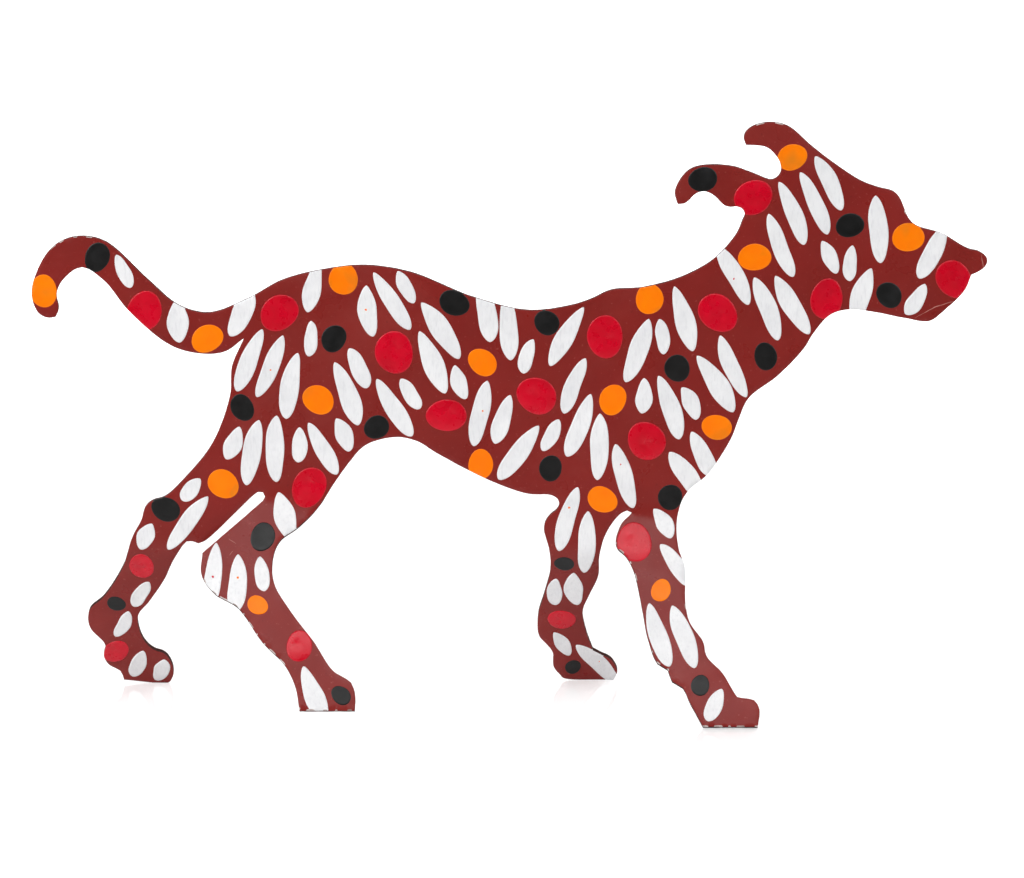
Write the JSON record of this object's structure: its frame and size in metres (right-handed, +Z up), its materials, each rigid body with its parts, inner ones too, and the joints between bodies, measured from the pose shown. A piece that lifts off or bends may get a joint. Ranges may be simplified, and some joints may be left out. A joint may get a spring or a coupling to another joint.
{
  "type": "scrap metal dog sculpture",
  "caption": "Dog in profile cut from a single sheet of painted steel, its legs folded out of the sheet so that it stands by itself.",
  "frame": {"origin": "on the floor, below the middle of the dog's box", "axes": "+X from the tail to the nose, +Y through the sheet from its painted face to its back, +Z up"},
  "size_m": [0.4742, 0.0986, 0.2948],
  "materials": {
    "painted_steel": "satin oxide-red paint, hand painted with white dabs and red, orange and black spots"
  },
  "bodies": {
    "root": {"dog_plate": "painted_steel"}
  },
  "joints": []
}
